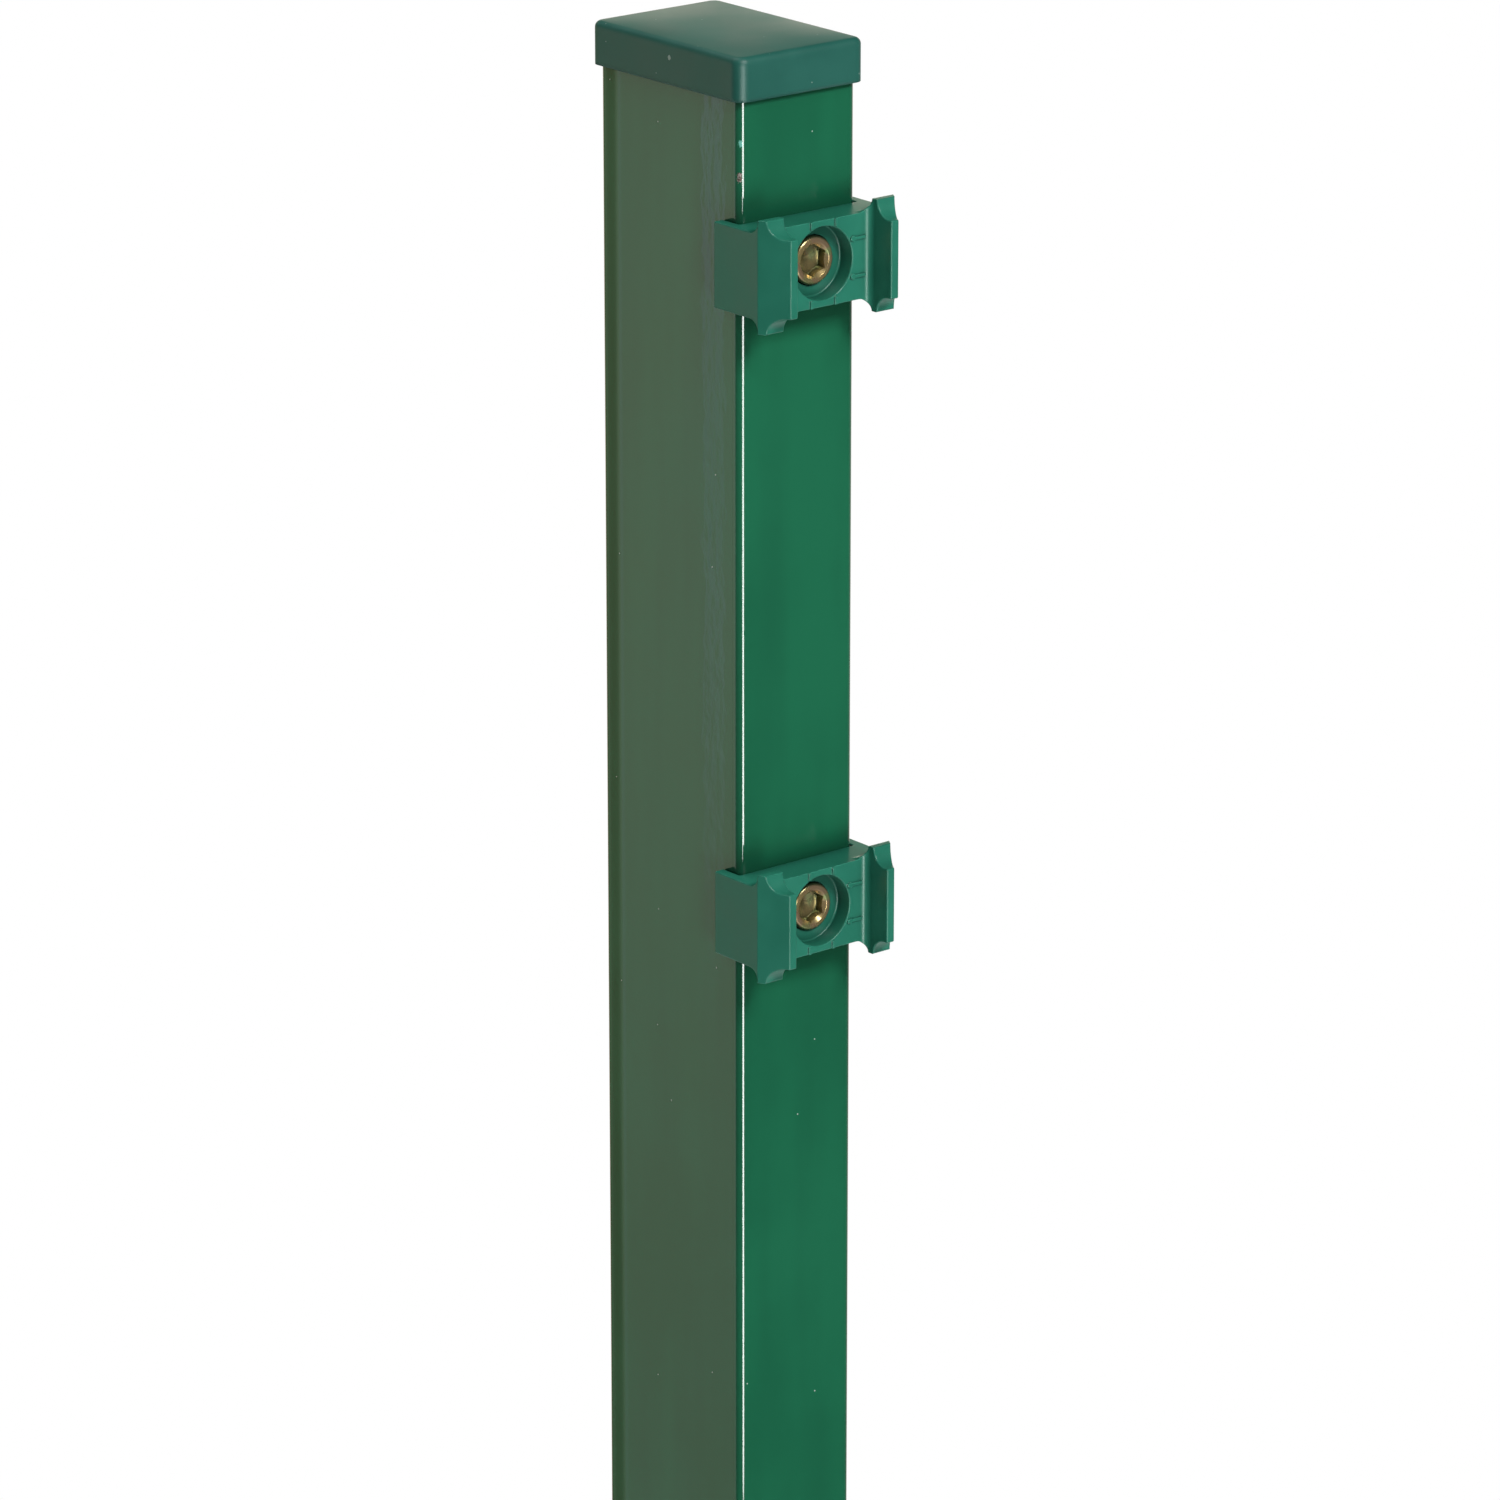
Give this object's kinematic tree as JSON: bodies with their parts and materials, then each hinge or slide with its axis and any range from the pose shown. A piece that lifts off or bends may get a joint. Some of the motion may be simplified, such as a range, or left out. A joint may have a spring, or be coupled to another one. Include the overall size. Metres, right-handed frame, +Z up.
{
  "type": "mesh panel fence post",
  "caption": "Rectangular coated steel tube with a pressed-on end cap and bolted plastic clips whose wings hold the wires of a welded mesh fence panel.",
  "frame": {"origin": "centre of the tube's cut bottom end", "axes": "+Z up along the tube, -Y towards the panel on the narrow face that carries the clips, +X across that face"},
  "size_m": [0.0466, 0.0813, 1.1017],
  "materials": {
    "post_coating": "satin powder coat",
    "cap_plastic": "satin moulded plastic",
    "clip_plastic": "satin moulded plastic",
    "bolt_zinc": "yellow zinc plating",
    "nut_zinc": "bright zinc plating"
  },
  "bodies": {
    "root": {"post_tube": "post_coating", "post_cap": "cap_plastic", "clip_1": "clip_plastic", "clip_bolt_1": "bolt_zinc", "rivet_nut_1": "nut_zinc", "clip_2": "clip_plastic", "clip_bolt_2": "bolt_zinc", "rivet_nut_2": "nut_zinc", "clip_3": "clip_plastic", "clip_bolt_3": "bolt_zinc", "rivet_nut_3": "nut_zinc", "clip_4": "clip_plastic", "clip_bolt_4": "bolt_zinc", "rivet_nut_4": "nut_zinc"}
  },
  "joints": []
}
